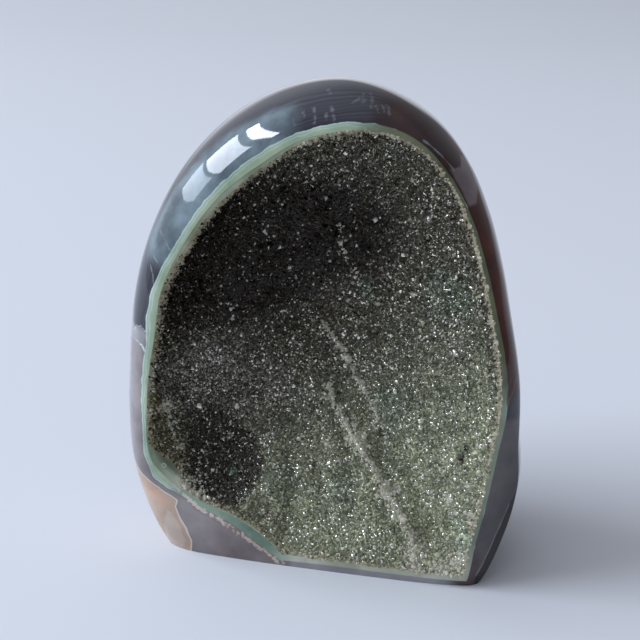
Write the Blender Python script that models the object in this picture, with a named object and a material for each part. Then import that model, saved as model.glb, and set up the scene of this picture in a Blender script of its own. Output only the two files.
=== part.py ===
"""Druzy agate geode: a polished chalcedony stone on a flat sawn base, with a crystal-lined hollow.

Run it with: blender --background --python part.py
Everything is in metres with +Z up. The hollow opens toward -Y and the base rests on z = 0.
"""
import functools
import math
import random

import bmesh
import bpy
from mathutils import Vector

MM = 0.001
OBJECT_NAME = "druzy_agate_geode"

# The front view is drawn in millimetres: x to the right of the mouth's middle, z upward. ORIGIN is
# the point of that drawing, with y, that lies in the middle of the base.
CENTRE = (0.0, 50.0)
ORIGIN = (-3.0, 3.5, -0.7)

# The edge of the mouth, where the polished band stops and the crystals begin.
MOUTH = [
    (39.4, 42.0), (38.3, 51.0), (36.2, 60.0), (33.6, 70.0), (30.4, 79.0), (25.8, 87.0), (19.0, 93.5),
    (10.5, 96.2), (2.0, 95.8), (-6.2, 93.5), (-15.0, 88.0), (-25.0, 79.5), (-32.0, 69.5), (-36.6, 60.0),
    (-38.5, 48.0), (-40.0, 34.0), (-39.0, 21.0), (-34.5, 16.3), (-27.0, 12.2), (-18.5, 9.2),
    (-11.5, 5.2), (-6.0, 0.5), (2.0, -6.0), (30.0, -6.0), (33.2, 1.0), (35.0, 12.0), (37.8, 28.0),
]
MOUTH_SILL = 2.0

# The widest outline of the stone, with its depth behind the mouth's plane. It goes on below the
# sawn base.
GIRTH = [
    (42.4, 45.0, 4.5), (39.9, 57.0, 5.0), (37.2, 68.0, 5.5), (33.6, 78.5, 6.5), (28.6, 88.0, 8.0),
    (20.5, 96.8, 10.0), (11.0, 102.0, 12.0), (0.0, 104.3, 14.0), (-12.5, 102.3, 17.0),
    (-26.0, 95.5, 20.0), (-37.5, 84.0, 21.0), (-44.8, 70.0, 21.0), (-48.4, 55.0, 20.0),
    (-49.2, 40.0, 19.0), (-48.8, 27.0, 17.0), (-46.6, 16.0, 14.0), (-43.0, 8.0, 11.0),
    (-38.5, 1.0, 9.0), (-32.0, -6.0, 9.0), (-22.0, -11.0, 12.0), (-8.0, -15.0, 15.0),
    (12.0, -15.0, 18.0), (30.0, -9.0, 8.0), (35.8, 0.0, 0.8), (39.6, 9.5, 4.5), (42.8, 19.0, 7.0),
    (43.0, 31.0, 6.0),
]

# Values round the stone, as (degrees anticlockwise from +X in the front view, value) knots.
SHOULDER_ROUNDNESS = [(0, 1.9), (45, 2.0), (90, 2.0), (180, 2.0), (215, 2.0), (230, 2.6), (245, 3.2),
                      (262, 3.0), (290, 2.0), (305, 1.2), (335, 1.15), (350, 1.6)]
BOWL_FLATNESS = [(0, 1.7), (45, 2.1), (90, 2.8), (135, 3.2), (180, 3.2), (220, 2.8), (250, 2.0), (280, 1.7),
                 (315, 1.6)]
BOWL_WALL = [(0, 1.0), (45, 1.2), (90, 1.6), (135, 2.0), (180, 2.2), (215, 2.2), (240, 1.7), (270, 1.0),
             (315, 1.0)]

FRONT_Y = -24.0
LEAN_DEG = 8.0
STONE_DEPTH = 47.0
BACK_ROUNDNESS = [(0, 1.7), (45, 1.9), (90, 2.2), (180, 2.2), (270, 2.5), (305, 2.6), (335, 1.8)]

# The hollow, and the crust that lines it.
DEEP_POINT = (-9.0, 54.0)
BOWL_DEPTH = 24.0
GAP = 0.4
CRUST_EDGE = 1.4
CRUST_THICKNESS = 2.4
RECESS = 0.3

# Crystals of the crust: how far their points stray sideways, and how high their tips and the
# points between them stand.
CRYSTAL_SCATTER = 0.35
CRYSTAL_HEIGHT = (0.7, 1.4)
VALLEY_HEIGHT = (-0.2, 0.2)

# Broad waves of the crust: height, length, heading in the front view, where in the wave it starts.
WAVES = [(0.35, 16.0, 40.0, 1.0), (0.35, 19.0, -50.0, 0.0), (0.3, 24.0, 100.0, 2.0)]

# Raised seams of crystals in the front view: path, width, height at its start and at its end.
RIDGES = [
    ([(-1.5, 35.5), (2.0, 31.0), (8.0, 23.5), (15.0, 15.5), (20.5, 10.0), (22.5, 2.5)], 1.8, 1.4, 2.3),
    ([(-4.0, 48.0), (2.5, 39.5), (8.0, 33.0), (10.5, 29.5)], 1.5, 1.5, 1.0),
    ([(0.0, 69.0), (4.0, 63.0), (9.0, 56.0)], 1.4, 0.7, 0.6),
]

# Lumps and pits: x, z, width, height (a pit's is negative).
LUMPS = [
    (32.0, 27.0, 1.8, -1.6), (-34.5, 20.0, 1.6, 0.9), (-24.0, 24.0, 7.0, -1.0), (-12.0, 16.0, 5.0, 1.0),
]
# The relief dies away over this share of the crust, next to its edge.
RELIEF_FADE = 0.12

STONE_COLOUR = (0.06, 0.065, 0.075)
STONE_ROUGHNESS = 0.12
CRUST_COLOUR = (0.10, 0.11, 0.09)
CRUST_ROUGHNESS = 0.35
SHARP_DEG = 30.0

COLUMNS = 78
HOLLOW_ROWS = 9
SHOULDER_ROWS = 8
BACK_ROWS = 8
LATTICE = 26
SEED = 7
TINY = 1e-6


def turn_of(point):
    """Angle of a front-view point round CENTRE, in degrees from 0 to 360."""
    return math.degrees(math.atan2(point[1] - CENTRE[1], point[0] - CENTRE[0])) % 360


def as_knots(outline):
    """An outline's points as (degrees, radius) knots round CENTRE."""
    return sorted((turn_of(p), math.dist(p, CENTRE)) for p in outline)


def round_value(knots, degrees):
    """A smooth periodic value through the knots: a cubic between each two neighbours."""
    degrees %= 360
    count = len(knots)
    after = next((i for i, k in enumerate(knots) if k[0] > degrees), count)

    def knot(i):
        turns, slot = divmod(i, count)
        return knots[slot][0] + 360 * turns, knots[slot][1]

    (a0, v0), (a1, v1), (a2, v2), (a3, v3) = (knot(after + i) for i in (-2, -1, 0, 1))
    width = a2 - a1
    t = (degrees - a1) / width
    slope1 = (v2 - v0) / (a2 - a0) * width
    slope2 = (v3 - v1) / (a3 - a1) * width
    return ((2 * t**3 - 3 * t**2 + 1) * v1 + (t**3 - 2 * t**2 + t) * slope1
            + (3 * t**2 - 2 * t**3) * v2 + (t**3 - t**2) * slope2)


MOUTH_KNOTS = as_knots(MOUTH)
GIRTH_KNOTS = as_knots([(x, z) for x, z, depth in GIRTH])
GIRTH_DEPTH = sorted((turn_of((x, z)), depth) for x, z, depth in GIRTH)


def mouth_radius(degrees):
    """Radius of the mouth's edge, cut straight along the sill above the base."""
    radius = round_value(MOUTH_KNOTS, degrees)
    down = -math.sin(math.radians(degrees))
    if down > 0:
        radius = min(radius, (CENTRE[1] - MOUTH_SILL) / down)
    return radius


def place(x, z, depth):
    """A point in metres, from its front view in millimetres and its depth behind the mouth's plane."""
    y = FRONT_Y + z * math.tan(math.radians(LEAN_DEG)) + depth
    return (Vector((x, y, z)) - Vector(ORIGIN)) * MM


def ray_point(degrees, radius):
    """Front-view point at a radius from CENTRE."""
    angle = math.radians(degrees)
    return CENTRE[0] + radius * math.cos(angle), CENTRE[1] + radius * math.sin(angle)


def shoulder_point(degrees, share):
    """The polished band, from the mouth's edge (share 0) over its rounding to the girth (share 1)."""
    power = 2 / round_value(SHOULDER_ROUNDNESS, degrees)
    inner = mouth_radius(degrees)
    outer = round_value(GIRTH_KNOTS, degrees)
    angle = share * math.pi / 2
    x, z = ray_point(degrees, inner + (outer - inner) * math.sin(angle) ** power)
    depth = round_value(GIRTH_DEPTH, degrees) * (1 - max(math.cos(angle), 0.0) ** power)
    return place(x, z, depth)


def back_point(degrees, share):
    """The back of the stone, from the girth (share 0) to the middle of the back (share 1).

    The section starts as full or as lean as its roundness says, and ends as a plain ellipse, so
    that all sections meet smoothly in the middle."""
    power = 2 / round_value(BACK_ROUNDNESS, degrees)
    power += (1 - power) * share
    outer = round_value(GIRTH_KNOTS, degrees)
    girth_depth = round_value(GIRTH_DEPTH, degrees)
    angle = share * math.pi / 2
    x, z = ray_point(degrees, outer * max(math.cos(angle), 0.0) ** power)
    return place(x, z, girth_depth + (STONE_DEPTH - girth_depth) * math.sin(angle) ** power)


def bowl_depth(degrees, share):
    """Depth of the hollow as a share of its greatest, from 1 in its middle to 0 at the mouth."""
    flatness = round_value(BOWL_FLATNESS, degrees)
    return max(0.0, 1 - share**flatness) ** (1 / round_value(BOWL_WALL, degrees))


@functools.lru_cache(maxsize=None)
def even_share(degrees, fraction):
    """How far out, from 0 to 1, a point lies that is this fraction of the way up the wall's length."""
    steps = 60
    # The samples crowd toward the mouth, where the wall is steepest.
    shares = [math.sin(i / steps * math.pi / 2) for i in range(steps + 1)]
    reach = mouth_radius(degrees)
    walked = [0.0]
    for start, end in zip(shares, shares[1:]):
        rise = BOWL_DEPTH * (bowl_depth(degrees, start) - bowl_depth(degrees, end))
        walked.append(walked[-1] + math.hypot(reach * (end - start), rise))
    target = fraction * walked[-1]
    i = next(i for i in range(1, steps + 1) if walked[i] >= target - TINY)
    part = (target - walked[i - 1]) / (walked[i] - walked[i - 1])
    return shares[i - 1] + (shares[i] - shares[i - 1]) * part


def bowl_point(degrees, fraction, edge, thinner):
    """The hollow, from its deepest point (fraction 0) to the mouth (fraction 1).

    edge is how far inside the mouth's edge it starts, and thinner is how much less deep it is, so
    the wall of the stone, the back of the crust and its face are nested bowls."""
    share = even_share(round(degrees, 4) % 360, fraction)
    rim_x, rim_z = ray_point(degrees, mouth_radius(degrees) - edge)
    x = DEEP_POINT[0] + (rim_x - DEEP_POINT[0]) * share
    z = DEEP_POINT[1] + (rim_z - DEEP_POINT[1]) * share
    return x, z, (BOWL_DEPTH - thinner) * bowl_depth(degrees, share) + RECESS * min(edge, 1.0)


def path_distance(x, z, path):
    """Distance in the front view from a point to a path of (x, z) points, and how far along it."""
    here = Vector((x, z))
    best = (math.inf, 0.0)
    for i, (start, end) in enumerate(zip(path, path[1:])):
        start, end = Vector(start), Vector(end)
        along = max(0.0, min(1.0, (here - start).dot(end - start) / (end - start).length_squared))
        best = min(best, ((here - start.lerp(end, along)).length, (i + along) / (len(path) - 1)))
    return best


def relief(x, z):
    """How far the crust stands out at a front-view point: its ridges, lumps and pits."""
    height = 0.0
    for wave_height, length, heading, start in WAVES:
        turn = math.radians(heading)
        along = x * math.cos(turn) + z * math.sin(turn)
        height += wave_height * math.sin(math.tau * along / length + start)
    for path, width, start_height, end_height in RIDGES:
        distance, along = path_distance(x, z, path)
        height += (start_height + (end_height - start_height) * along) * math.exp(-((distance / width) ** 2))
    for lump_x, lump_z, width, lump_height in LUMPS:
        height += lump_height * math.exp(-(math.dist((x, z), (lump_x, lump_z)) / width) ** 2)
    return height


def lattice_place(q, r):
    """Ring share and angle of a point of the triangular lattice, as a round patch."""
    ring = max(abs(q), abs(r), abs(q - r))
    if ring == 0:
        return 0.0, 0.0
    x, y = q - r / 2, r * math.sqrt(3) / 2
    side = math.floor(math.degrees(math.atan2(y, x)) % 360 / 60 + TINY) % 6
    corner = ring * math.cos(math.radians(60 * side)), ring * math.sin(math.radians(60 * side))
    return ring / LATTICE, 60 * (side + math.dist((x, y), corner) / ring)


def make_object(name, bm, collection, colour, roughness):
    """A mesh object with its own Principled material."""
    mesh = bpy.data.meshes.new(name)
    bm.to_mesh(mesh)
    bm.free()
    material = bpy.data.materials.new(name)
    material.use_nodes = True
    shader = material.node_tree.nodes["Principled BSDF"]
    shader.inputs["Base Color"].default_value = (*colour, 1.0)
    shader.inputs["Roughness"].default_value = roughness
    mesh.materials.append(material)
    obj = bpy.data.objects.new(name, mesh)
    collection.objects.link(obj)
    return obj


def agate_body(collection):
    """The stone: a UV sphere whose rows become the hollow, the polished band and the back."""
    rows = HOLLOW_ROWS + SHOULDER_ROWS + BACK_ROWS
    bm = bmesh.new()
    bmesh.ops.create_uvsphere(bm, u_segments=COLUMNS, v_segments=rows, radius=1.0)
    for vert in bm.verts:
        degrees = math.degrees(math.atan2(vert.co.y, vert.co.x)) % 360
        row = round(math.acos(max(-1.0, min(1.0, vert.co.z))) / math.pi * rows)
        if row <= HOLLOW_ROWS:
            vert.co = place(*bowl_point(degrees, row / HOLLOW_ROWS, 0.0, 0.0))
        elif row <= HOLLOW_ROWS + SHOULDER_ROWS:
            vert.co = shoulder_point(degrees, (row - HOLLOW_ROWS) / SHOULDER_ROWS)
        else:
            vert.co = back_point(degrees, (row - HOLLOW_ROWS - SHOULDER_ROWS) / BACK_ROWS)
    bmesh.ops.bisect_plane(bm, geom=bm.verts[:] + bm.edges[:] + bm.faces[:], dist=TINY * MM,
                           plane_co=(0, 0, 0), plane_no=(0, 0, -1), clear_outer=True)
    rim = [edge for edge in bm.edges if edge.is_boundary]
    bmesh.ops.edgeloop_fill(bm, edges=rim)
    bmesh.ops.recalc_face_normals(bm, faces=bm.faces)
    obj = make_object("agate_body", bm, collection, STONE_COLOUR, STONE_ROUGHNESS)
    obj.data.shade_smooth()
    obj.data.set_sharp_from_angle(angle=math.radians(SHARP_DEG))
    return obj


def druzy_crust(collection):
    """The crust: a triangular lattice whose every third point is the tip of a six-sided crystal."""
    rng = random.Random(SEED)
    bm = bmesh.new()
    bmesh.ops.create_grid(bm, x_segments=2 * LATTICE, y_segments=2 * LATTICE, size=LATTICE)
    bmesh.ops.triangulate(bm, faces=bm.faces, quad_method="FIXED")
    spread = {}
    for vert in bm.verts:
        q, r = round(vert.co.x), round(vert.co.y)
        spread[vert] = (q, r)
    outside = [v for v in bm.verts if abs(spread[v][0] - spread[v][1]) > LATTICE]
    bmesh.ops.delete(bm, geom=outside, context="VERTS")
    spread = {v: spread[v] for v in bm.verts}
    rim_share = {}
    for vert, (q, r) in spread.items():
        ring, degrees = lattice_place(q, r)
        x, z, depth = bowl_point(degrees, ring, GAP + CRUST_EDGE, GAP + CRUST_THICKNESS)
        vert.co = place(x, z, depth - relief(x, z) * min(1.0, (1 - ring) / RELIEF_FADE))
        rim_share[vert] = ring
    bm.normal_update()
    outward = {v: v.normal.copy() * (-1 if v.normal.y > 0 else 1) for v in bm.verts}
    for vert, (q, r) in spread.items():
        if rim_share[vert] > 1 - 0.5 / LATTICE:
            continue
        shift = Vector([rng.uniform(-1, 1) for _ in range(3)]) * CRYSTAL_SCATTER
        shift -= outward[vert] * shift.dot(outward[vert])
        rise = rng.uniform(*(CRYSTAL_HEIGHT if (q + r) % 3 == 0 else VALLEY_HEIGHT))
        vert.co += (shift + outward[vert] * rise) * MM

    face_rim = [edge for edge in bm.edges if edge.is_boundary]
    half = bmesh.ops.create_uvsphere(bm, u_segments=COLUMNS, v_segments=2 * HOLLOW_ROWS, radius=1.0)["verts"]
    bmesh.ops.delete(bm, geom=[v for v in half if v.co.z < -TINY], context="VERTS")
    for vert in bm.verts:
        if vert not in spread:
            degrees = math.degrees(math.atan2(vert.co.y, vert.co.x)) % 360
            row = round(math.acos(max(-1.0, min(1.0, vert.co.z))) / math.pi * 2 * HOLLOW_ROWS)
            vert.co = place(*bowl_point(degrees, row / HOLLOW_ROWS, GAP, GAP))
    back_rim = [edge for edge in bm.edges if edge.is_boundary and edge not in set(face_rim)]
    bmesh.ops.bridge_loops(bm, edges=face_rim + back_rim)
    bmesh.ops.triangulate(bm, faces=bm.faces)
    bmesh.ops.recalc_face_normals(bm, faces=bm.faces)
    return make_object("druzy_crust", bm, collection, CRUST_COLOUR, CRUST_ROUGHNESS)


def main():
    for obj in list(bpy.data.objects):
        bpy.data.objects.remove(obj)
    collection = bpy.data.collections.new(OBJECT_NAME)
    bpy.context.scene.collection.children.link(collection)
    agate_body(collection)
    druzy_crust(collection)


main()
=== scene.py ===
# %% [markdown]
# # A druzy agate geode
# The stone is a pebble-shaped block of chalcedony that was sawn flat at the base, opened at the
# front and polished. Its hollow is lined with a crust of small smoky quartz crystals.
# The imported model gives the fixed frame, and every piece here is fitted to it.

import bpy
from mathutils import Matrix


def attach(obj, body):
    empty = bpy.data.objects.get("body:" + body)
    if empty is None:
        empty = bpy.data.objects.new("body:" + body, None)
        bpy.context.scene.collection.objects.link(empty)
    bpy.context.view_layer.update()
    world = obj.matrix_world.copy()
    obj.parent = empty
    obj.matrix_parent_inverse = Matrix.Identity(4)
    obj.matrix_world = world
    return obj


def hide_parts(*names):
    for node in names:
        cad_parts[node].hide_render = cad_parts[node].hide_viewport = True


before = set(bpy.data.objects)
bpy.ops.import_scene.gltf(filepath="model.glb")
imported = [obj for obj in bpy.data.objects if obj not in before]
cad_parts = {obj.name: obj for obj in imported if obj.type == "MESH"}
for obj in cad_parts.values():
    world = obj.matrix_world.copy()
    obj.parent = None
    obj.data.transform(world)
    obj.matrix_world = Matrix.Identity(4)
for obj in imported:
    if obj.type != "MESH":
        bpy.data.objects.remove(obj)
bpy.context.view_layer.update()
print("nodes:", sorted(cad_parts))

# %% Tools of this lesson
import math

import bpy
import numpy as np
from mathutils import Vector

MM = 0.001
SEED = 11
rng = np.random.default_rng(SEED)
print("every size below is in millimetres until it is multiplied by MM =", MM)

# %% [markdown]
# Two helpers for materials. Colours are written as the hex values that a colour picker gives, and
# shaders want linear light, so one function converts them. The other one adds a shader node, sets
# its options and fills its inputs, either with a value or with a link from another node.

# %% Colour and node helpers
def to_linear(code, alpha=1.0):
    """An sRGB hex colour as linear RGBA."""
    parts = [int(code.lstrip("#")[i:i + 2], 16) / 255 for i in (0, 2, 4)]
    return tuple(c / 12.92 if c <= 0.04045 else ((c + 0.055) / 1.055) ** 2.4 for c in parts) + (alpha,)


def add_node(tree, kind, inputs=None, **settings):
    """A new node with its settings, and each input given a value or a link."""
    node = tree.nodes.new(kind)
    for name, value in settings.items():
        setattr(node, name, value)
    for name, value in (inputs or {}).items():
        if isinstance(value, bpy.types.NodeSocket):
            tree.links.new(value, node.inputs[name])
        else:
            node.inputs[name].default_value = value
    return node


def new_material(name):
    """A material with only a Principled shader and its output."""
    material = bpy.data.materials.new(name)
    material.use_nodes = True
    return material, material.node_tree, material.node_tree.nodes["Principled BSDF"]


print("#808080 is", round(to_linear("#808080")[0], 3), "in linear light")

# %% [markdown]
# ## The form of the stone
# The front view is drawn as two closed outlines round one centre: the edge of the mouth, and the
# widest outline of the stone behind it. Between them lies the polished band, from the widest
# outline on the back closes the stone, and inside the mouth the hollow sinks like a bowl. Each
# outline is a list of points, and a smooth periodic curve gives its radius in any direction.

# %% Outlines of the front view
CENTRE = (0.0, 50.0)
ORIGIN = (-3.0, 3.5, -0.7)
FRONT_Y = -24.0
LEAN_DEG = 8.0
STONE_DEPTH = 47.0
DEEP_POINT = (-9.0, 54.0)
BOWL_DEPTH = 24.0
MOUTH_SILL = 2.0

MOUTH = [
    (39.4, 42.0), (38.3, 51.0), (36.2, 60.0), (33.6, 70.0), (30.4, 79.0), (25.8, 87.0), (19.0, 93.5),
    (10.5, 96.2), (2.0, 95.8), (-6.2, 93.5), (-15.0, 88.0), (-25.0, 79.5), (-32.0, 69.5), (-36.6, 60.0),
    (-38.5, 48.0), (-40.0, 34.0), (-39.0, 21.0), (-34.5, 16.3), (-27.0, 12.2), (-18.5, 9.2),
    (-11.5, 5.2), (-6.0, 0.5), (2.0, -6.0), (30.0, -6.0), (33.2, 1.0), (35.0, 12.0), (37.8, 28.0),
]
GIRTH = [
    (42.4, 45.0, 4.5), (39.9, 57.0, 5.0), (37.2, 68.0, 5.5), (33.6, 78.5, 6.5), (28.6, 88.0, 8.0),
    (20.5, 96.8, 10.0), (11.0, 102.0, 12.0), (0.0, 104.3, 14.0), (-12.5, 102.3, 17.0),
    (-26.0, 95.5, 20.0), (-37.5, 84.0, 21.0), (-44.8, 70.0, 21.0), (-48.4, 55.0, 20.0),
    (-49.2, 40.0, 19.0), (-48.8, 27.0, 17.0), (-46.6, 16.0, 14.0), (-43.0, 8.0, 11.0),
    (-38.5, 1.0, 9.0), (-32.0, -6.0, 9.0), (-22.0, -11.0, 12.0), (-8.0, -15.0, 15.0),
    (12.0, -15.0, 18.0), (30.0, -9.0, 8.0), (37.0, 0.0, 3.2), (41.2, 9.5, 7.2), (43.2, 19.0, 8.0),
    (43.0, 31.0, 6.0),
]
# How round each section is, as (degrees round the front view, value).
SHOULDER_ROUNDNESS = [(0, 1.9), (45, 2.0), (90, 2.0), (180, 2.0), (215, 2.0), (230, 2.6), (245, 3.2),
                      (262, 3.0), (290, 2.0), (305, 1.2), (335, 1.15), (350, 1.6)]
BACK_ROUNDNESS = [(0, 1.7), (45, 1.9), (90, 2.2), (180, 2.2), (270, 2.5), (300, 3.2), (312, 4.0), (325, 3.0), (340, 1.9)]
BOWL_FLATNESS = [(0, 1.7), (45, 2.1), (90, 2.8), (135, 3.2), (180, 3.2), (220, 2.8), (250, 2.0), (280, 1.7),
                 (315, 1.6)]
BOWL_WALL = [(0, 1.0), (45, 1.2), (90, 1.6), (135, 2.0), (180, 2.2), (215, 2.2), (240, 1.7), (270, 1.0),
             (315, 1.0)]


def turn_of(point):
    """Angle of a front-view point round CENTRE, in degrees."""
    return math.degrees(math.atan2(point[1] - CENTRE[1], point[0] - CENTRE[0])) % 360


def round_value(knots, degrees):
    """Smooth periodic value through (degrees, value) knots, for an array of angles."""
    table = np.array(sorted(knots), float)
    angle = np.concatenate([table[:, 0] - 360, table[:, 0], table[:, 0] + 360])
    value = np.tile(table[:, 1], 3)
    slope = np.zeros(len(angle))
    slope[1:-1] = (value[2:] - value[:-2]) / (angle[2:] - angle[:-2])
    degrees = np.asarray(degrees, float) % 360
    i = np.searchsorted(angle, degrees, side="right") - 1
    width = angle[i + 1] - angle[i]
    t = (degrees - angle[i]) / width
    return ((2 * t**3 - 3 * t**2 + 1) * value[i] + (t**3 - 2 * t**2 + t) * slope[i] * width
            + (3 * t**2 - 2 * t**3) * value[i + 1] + (t**3 - t**2) * slope[i + 1] * width)


MOUTH_KNOTS = [(turn_of(p), math.dist(p, CENTRE)) for p in MOUTH]
GIRTH_KNOTS = [(turn_of(p[:2]), math.dist(p[:2], CENTRE)) for p in GIRTH]
GIRTH_DEPTH = [(turn_of(p[:2]), p[2]) for p in GIRTH]
print(len(MOUTH), "points round the mouth,", len(GIRTH), "round the stone")


# %% Points of the surfaces
def mouth_radius(degrees):
    """Radius of the mouth's edge, cut straight along the sill."""
    down = -np.sin(np.radians(degrees))
    sill = (CENTRE[1] - MOUTH_SILL) / np.maximum(down, 1e-6)
    return np.minimum(round_value(MOUTH_KNOTS, degrees), np.where(down > 0, sill, 1e9))


def place(x, z, depth):
    """Points in millimetres, from the front view and the depth behind the mouth's plane."""
    y = FRONT_Y + z * math.tan(math.radians(LEAN_DEG)) + depth
    return np.stack(np.broadcast_arrays(x - ORIGIN[0], y - ORIGIN[1], z - ORIGIN[2]), -1)


def ray_point(degrees, radius):
    """Front-view points at a radius from CENTRE."""
    angle = np.radians(degrees)
    return CENTRE[0] + radius * np.cos(angle), CENTRE[1] + radius * np.sin(angle)


def shoulder_point(degrees, share):
    """The polished band, from the mouth's edge (share 0) to the widest outline (share 1)."""
    power = 2 / round_value(SHOULDER_ROUNDNESS, degrees)
    inner, outer = mouth_radius(degrees), round_value(GIRTH_KNOTS, degrees)
    angle = share * math.pi / 2
    x, z = ray_point(degrees, inner + (outer - inner) * np.sin(angle) ** power)
    depth = round_value(GIRTH_DEPTH, degrees) * (1 - np.maximum(np.cos(angle), 0) ** power)
    return place(x, z, depth)


def back_point(degrees, share):
    """The back, from the widest outline (share 0) to the middle of the back (share 1)."""
    power = 2 / round_value(BACK_ROUNDNESS, degrees)
    power = power + (1 - power) * share
    girth_depth = round_value(GIRTH_DEPTH, degrees)
    angle = share * math.pi / 2
    x, z = ray_point(degrees, round_value(GIRTH_KNOTS, degrees) * np.maximum(np.cos(angle), 0) ** power)
    return place(x, z, girth_depth + (STONE_DEPTH - girth_depth) * np.sin(angle) ** power)


def bowl_depth(degrees, share):
    """Depth of the hollow as a share of its greatest, from 1 in its middle to 0 at the mouth."""
    dip = np.maximum(1 - share ** round_value(BOWL_FLATNESS, degrees), 0)
    return dip ** (1 / round_value(BOWL_WALL, degrees))


def even_share(degrees, fraction):
    """How far out each point lies that is this fraction of the way up the wall. Both are arrays:
    degrees per column and fraction per row."""
    steps = np.sin(np.linspace(0, math.pi / 2, 90))
    depth = BOWL_DEPTH * bowl_depth(degrees[None, :], steps[:, None])
    step_length = np.hypot(mouth_radius(degrees) * np.diff(steps)[:, None], np.diff(depth, axis=0))
    walked = np.vstack([np.zeros(len(degrees)), np.cumsum(step_length, axis=0)])
    return np.stack([np.interp(fraction * walked[-1, i], walked[:, i], steps)
                     for i in range(len(degrees))], 1)


def bowl_grid(degrees, fraction, edge, thinner):
    """The hollow as rows (fraction) and columns (degrees) of front-view x, z and depth. edge is how
    far inside the mouth's edge it ends, per row, and thinner how much less deep it is."""
    share = even_share(degrees, fraction)
    rim_x, rim_z = ray_point(degrees[None, :], mouth_radius(degrees)[None, :] - edge[:, None])
    x = DEEP_POINT[0] + (rim_x - DEEP_POINT[0]) * share
    z = DEEP_POINT[1] + (rim_z - DEEP_POINT[1]) * share
    return x, z, (BOWL_DEPTH - thinner) * bowl_depth(degrees[None, :], share)


print("the mouth is", round(float(mouth_radius(0.0) + mouth_radius(180.0)), 1), "mm wide")

# %% [markdown]
# ## The polished stone
# The real stone was ground on wheels and polished, so it has long soft curves with faint waves.
# A flat grid is bent round it: its rows become the hollow, the polished band and the back, its
# columns run outward from the hollow, and the two ends of each row are joined. Bisect then saws the
# base flat and fills the cut.

# %% The stone's net
COLUMNS = 640
HOLLOW_ROWS, SHOULDER_ROWS, BACK_ROWS = 8, 96, 50
ROWS = HOLLOW_ROWS + SHOULDER_ROWS + BACK_ROWS

degrees = np.arange(COLUMNS) * 360 / COLUMNS
hollow_x, hollow_z, hollow_depth = bowl_grid(degrees, np.linspace(0, 1, HOLLOW_ROWS + 1),
                                             np.zeros(HOLLOW_ROWS + 1), 0.0)
shoulder_share = np.linspace(0, 1, SHOULDER_ROWS + 1)[1:, None]
back_share = np.linspace(0, 1, BACK_ROWS + 1)[1:, None]
stone_net = np.concatenate([
    place(hollow_x, hollow_z, hollow_depth),
    shoulder_point(degrees[None, :], shoulder_share),
    back_point(degrees[None, :], back_share),
])
step = np.linalg.norm(np.diff(stone_net, axis=0), axis=2)
from_centre = np.vstack([np.zeros(COLUMNS), np.cumsum(step, axis=0)])
rim_mm = from_centre - from_centre[HOLLOW_ROWS]
print("net of", stone_net.shape[0], "rows and", COLUMNS, "columns")


def path_distance(x, z, path):
    """Distance of front-view points to a path, and how far along it they lie (0 to 1)."""
    best, place_along = np.full(np.shape(x), 1e9), np.zeros(np.shape(x))
    for i, (start, end) in enumerate(zip(path, path[1:])):
        run = np.subtract(end, start)
        along = np.clip(((x - start[0]) * run[0] + (z - start[1]) * run[1]) / (run @ run), 0, 1)
        distance = np.hypot(x - start[0] - along * run[0], z - start[1] - along * run[1])
        closer = distance < best
        best = np.where(closer, distance, best)
        place_along = np.where(closer, (i + along) / (len(path) - 1), place_along)
    return best, place_along



# %% [markdown]
# The stone's colours lie in zones: a green band round the mouth, a clear bluish layer behind it,
# brown-black chalcedony and maroon jasper at the right, slate and lilac-grey below, and a cream
# patch of the outer skin. Each zone is drawn on the unrolled surface, by its angle round the mouth
# and its distance from the mouth's edge. The mesh keeps each as a smooth number per vertex, mostly
# a distance in millimetres, and the material cuts a crisp edge from it.

# %% Zones of the stone
BAND_WIDTH = [(0, 1.1), (30, 0.7), (45, 0.6), (60, 0.7), (75, 1.3), (85, 1.8), (98, 1.9), (110, 2.4), (125, 2.0),
              (135, 1.7), (150, 1.8), (165, 2.2), (175, 2.6), (186, 1.8), (200, 1.7), (210, 1.2), (217, 1.4),
              (222, 2.2), (232, 1.1), (245, 1.6), (255, 2.0), (262, 1.4), (275, 1.1), (300, 1.3), (330, 1.3)]
# The green goes on inside the mouth's edge, this far down the hollow's wall.
INNER_BAND = [(0, 0.0), (60, 0.0), (84, 0.1), (95, 0.6), (105, 1.2), (116, 1.6), (124, 1.9), (135, 1.5), (146, 1.1),
              (156, 0.6), (180, 0.3), (208, 0.5), (214, 1.0), (217, 2.6), (221, 4.0), (225, 2.7), (228, 0.6),
              (236, 0.4), (250, 0.5), (260, 0.2), (275, 0.0), (300, 0.0)]
# Turns run from -180 to 180 where a patch crosses 0.
MAROON = [(-17.5, 0.9), (-14.4, 1.4), (-9.5, 2.4), (-5.5, 3.9), (-0.2, 4.9), (4.4, 6.0), (8, 12.0), (20, 26.0),
          (50, 24.0), (60, 14.0), (64, 6.0), (60, 1.0)]
CREAM = [(219, 4.6), (223.6, 3.4), (226.9, 2.8), (230, 2.6), (230.6, 4.4), (232.9, 6.2), (236.1, 8.0),
         (238.8, 10.2), (240, 13.0), (238, 20.0), (228, 22.0), (219, 18.0), (214, 12.0), (216, 6.5)]
CREAM_FOLD = [(219.5, 5.6), (223.6, 4.4), (227.6, 3.8), (229.2, 4.6), (228.4, 6.6), (223, 7.2)]
CREAM_EDGE = [(229.4, 6.6), (232.2, 6.9), (235.2, 8.8), (237.6, 11.0), (238.4, 14.0), (234, 16.0), (231, 11.0)]
CHIP = [(182.6, 9.0), (179.7, 6.0), (178.7, 4.2), (180.2, 2.0), (184.2, 2.4), (184.6, 3.4), (183.4, 9.0)]
CHIP_EDGE = [[(182, 9.0), (180.6, 6.8), (179.4, 6.2), (179.6, 5.0), (178.7, 4.2), (179.8, 3.0), (180.2, 2.0)],
             [(183.4, 8.6), (183.8, 5.6), (184.6, 3.0), (188.1, 0.6)]]
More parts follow.
